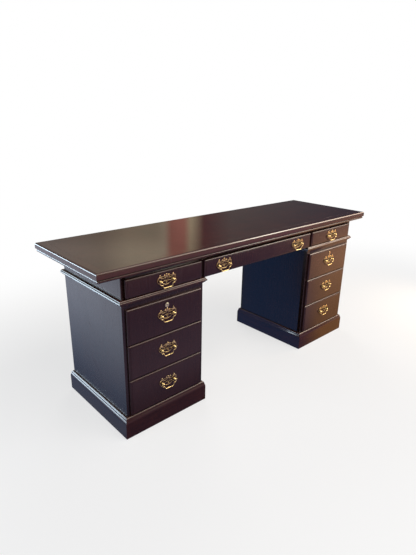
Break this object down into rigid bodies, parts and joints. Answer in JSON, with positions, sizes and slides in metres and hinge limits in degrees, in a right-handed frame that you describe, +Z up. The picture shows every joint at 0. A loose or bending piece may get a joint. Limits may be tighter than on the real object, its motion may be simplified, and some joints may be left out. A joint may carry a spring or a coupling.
{
  "type": "pedestal desk",
  "caption": "Long, shallow pedestal desk: moulded top, open kneehole, lipped drawers with pierced brass bail pulls, cam locks and moulded plinths.",
  "frame": {"origin": "on the floor, under the middle of the desk", "axes": "+X along the desk, to the right of someone facing the drawers; +Y to the back; +Z up"},
  "size_m": [1.829, 0.54, 0.77],
  "materials": {
    "top_veneer": "polished red-brown mahogany veneer",
    "mahogany_moulding": "polished red-brown mahogany",
    "mahogany": "polished red-brown mahogany",
    "mahogany_fronts": "polished red-brown mahogany with an upright grain",
    "drawer_wood": "waxed oak",
    "inner_wood": "bare planed softwood",
    "antique_brass": "cast, lacquered antique brass",
    "lock_brass": "turned brass",
    "steel": "turned steel"
  },
  "bodies": {
    "desk": {"top_board": "top_veneer", "top_edge_mouldings": "mahogany_moulding", "top_fixing_blocks": "inner_wood", "frieze_front_frame": "mahogany", "frieze_end_panels": "mahogany", "frieze_dividers": "mahogany", "frieze_back_panel": "mahogany", "left_pedestal_sides": "mahogany", "right_pedestal_sides": "mahogany", "left_pedestal_frame": "mahogany", "right_pedestal_frame": "mahogany", "pedestal_back_panels": "mahogany", "pedestal_tops_and_floors": "inner_wood", "left_waist_mouldings": "mahogany_moulding", "right_waist_mouldings": "mahogany_moulding", "left_plinth": "mahogany_moulding", "right_plinth": "mahogany_moulding", "drawer_runners": "inner_wood", "floor_glides": "steel"},
    "left_frieze_drawer": {"left_frieze_drawer_front": "mahogany_fronts", "left_frieze_drawer_box": "drawer_wood", "left_frieze_drawer_pull_plate": "antique_brass"},
    "left_frieze_drawer_bail": {"left_frieze_drawer_bail": "antique_brass"},
    "left_top_drawer": {"left_top_drawer_front": "mahogany_fronts", "left_top_drawer_box": "drawer_wood", "left_top_drawer_pull_plate": "antique_brass", "left_top_drawer_lock_case": "steel"},
    "left_top_drawer_bail": {"left_top_drawer_bail": "antique_brass"},
    "left_top_drawer_lock_plug": {"left_top_drawer_lock_plug": "steel"},
    "left_middle_drawer": {"left_middle_drawer_front": "mahogany_fronts", "left_middle_drawer_box": "drawer_wood", "left_middle_drawer_pull_plate": "antique_brass"},
    "left_middle_drawer_bail": {"left_middle_drawer_bail": "antique_brass"},
    "left_bottom_drawer": {"left_bottom_drawer_front": "mahogany_fronts", "left_bottom_drawer_box": "drawer_wood", "left_bottom_drawer_pull_plate": "antique_brass"},
    "left_bottom_drawer_bail": {"left_bottom_drawer_bail": "antique_brass"},
    "right_frieze_drawer": {"right_frieze_drawer_front": "mahogany_fronts", "right_frieze_drawer_box": "drawer_wood", "right_frieze_drawer_pull_plate": "antique_brass"},
    "right_frieze_drawer_bail": {"right_frieze_drawer_bail": "antique_brass"},
    "right_top_drawer": {"right_top_drawer_front": "mahogany_fronts", "right_top_drawer_box": "drawer_wood", "right_top_drawer_pull_plate": "antique_brass", "right_top_drawer_lock_case": "lock_brass"},
    "right_top_drawer_bail": {"right_top_drawer_bail": "antique_brass"},
    "right_top_drawer_lock_plug": {"right_top_drawer_lock_plug": "lock_brass"},
    "right_middle_drawer": {"right_middle_drawer_front": "mahogany_fronts", "right_middle_drawer_box": "drawer_wood", "right_middle_drawer_pull_plate": "antique_brass"},
    "right_middle_drawer_bail": {"right_middle_drawer_bail": "antique_brass"},
    "right_bottom_drawer": {"right_bottom_drawer_front": "mahogany_fronts", "right_bottom_drawer_box": "drawer_wood", "right_bottom_drawer_pull_plate": "antique_brass"},
    "right_bottom_drawer_bail": {"right_bottom_drawer_bail": "antique_brass"},
    "centre_drawer": {"centre_drawer_front": "mahogany_fronts", "centre_drawer_box": "drawer_wood", "centre_drawer_pull_plates": "antique_brass"},
    "centre_drawer_left_bail": {"centre_drawer_left_bail": "antique_brass"},
    "centre_drawer_right_bail": {"centre_drawer_right_bail": "antique_brass"}
  },
  "joints": [
    {"name": "left_frieze_drawer_slide", "type": "slide", "parent": "desk", "child": "left_frieze_drawer", "axis": [0, -1, 0], "range_m": [0, 0.32]},
    {"name": "left_frieze_drawer_bail_swing", "type": "hinge", "parent": "left_frieze_drawer", "child": "left_frieze_drawer_bail", "pos_m": [-0.5975, -0.2638, 0.67], "axis": [-1, 0, 0], "range_deg": [-8, 172]},
    {"name": "left_top_drawer_slide", "type": "slide", "parent": "desk", "child": "left_top_drawer", "axis": [0, -1, 0], "range_m": [0, 0.32]},
    {"name": "left_top_drawer_bail_swing", "type": "hinge", "parent": "left_top_drawer", "child": "left_top_drawer_bail", "pos_m": [-0.5975, -0.2638, 0.519], "axis": [-1, 0, 0], "range_deg": [-8, 172]},
    {"name": "left_top_drawer_lock_plug_turn", "type": "hinge", "parent": "left_top_drawer", "child": "left_top_drawer_lock_plug", "pos_m": [-0.5975, -0.239, 0.562], "axis": [0, 1, 0], "range_deg": [0, 90]},
    {"name": "left_middle_drawer_slide", "type": "slide", "parent": "desk", "child": "left_middle_drawer", "axis": [0, -1, 0], "range_m": [0, 0.32]},
    {"name": "left_middle_drawer_bail_swing", "type": "hinge", "parent": "left_middle_drawer", "child": "left_middle_drawer_bail", "pos_m": [-0.5975, -0.2638, 0.36], "axis": [-1, 0, 0], "range_deg": [-8, 172]},
    {"name": "left_bottom_drawer_slide", "type": "slide", "parent": "desk", "child": "left_bottom_drawer", "axis": [0, -1, 0], "range_m": [0, 0.32]},
    {"name": "left_bottom_drawer_bail_swing", "type": "hinge", "parent": "left_bottom_drawer", "child": "left_bottom_drawer_bail", "pos_m": [-0.5975, -0.2638, 0.1965], "axis": [-1, 0, 0], "range_deg": [-8, 172]},
    {"name": "right_frieze_drawer_slide", "type": "slide", "parent": "desk", "child": "right_frieze_drawer", "axis": [0, -1, 0], "range_m": [0, 0.32]},
    {"name": "right_frieze_drawer_bail_swing", "type": "hinge", "parent": "right_frieze_drawer", "child": "right_frieze_drawer_bail", "pos_m": [0.5975, -0.2638, 0.67], "axis": [-1, 0, 0], "range_deg": [-8, 172]},
    {"name": "right_top_drawer_slide", "type": "slide", "parent": "desk", "child": "right_top_drawer", "axis": [0, -1, 0], "range_m": [0, 0.32]},
    {"name": "right_top_drawer_bail_swing", "type": "hinge", "parent": "right_top_drawer", "child": "right_top_drawer_bail", "pos_m": [0.5975, -0.2638, 0.519], "axis": [-1, 0, 0], "range_deg": [-8, 172]},
    {"name": "right_top_drawer_lock_plug_turn", "type": "hinge", "parent": "right_top_drawer", "child": "right_top_drawer_lock_plug", "pos_m": [0.5975, -0.239, 0.562], "axis": [0, 1, 0], "range_deg": [0, 90]},
    {"name": "right_middle_drawer_slide", "type": "slide", "parent": "desk", "child": "right_middle_drawer", "axis": [0, -1, 0], "range_m": [0, 0.32]},
    {"name": "right_middle_drawer_bail_swing", "type": "hinge", "parent": "right_middle_drawer", "child": "right_middle_drawer_bail", "pos_m": [0.5975, -0.2638, 0.36], "axis": [-1, 0, 0], "range_deg": [-8, 172]},
    {"name": "right_bottom_drawer_slide", "type": "slide", "parent": "desk", "child": "right_bottom_drawer", "axis": [0, -1, 0], "range_m": [0, 0.32]},
    {"name": "right_bottom_drawer_bail_swing", "type": "hinge", "parent": "right_bottom_drawer", "child": "right_bottom_drawer_bail", "pos_m": [0.5975, -0.2638, 0.1965], "axis": [-1, 0, 0], "range_deg": [-8, 172]},
    {"name": "centre_drawer_slide", "type": "slide", "parent": "desk", "child": "centre_drawer", "axis": [0, -1, 0], "range_m": [0, 0.32]},
    {"name": "centre_drawer_left_bail_swing", "type": "hinge", "parent": "centre_drawer", "child": "centre_drawer_left_bail", "pos_m": [-0.273, -0.2638, 0.67], "axis": [-1, 0, 0], "range_deg": [-8, 172]},
    {"name": "centre_drawer_right_bail_swing", "type": "hinge", "parent": "centre_drawer", "child": "centre_drawer_right_bail", "pos_m": [0.273, -0.2638, 0.67], "axis": [-1, 0, 0], "range_deg": [-8, 172]}
  ]
}
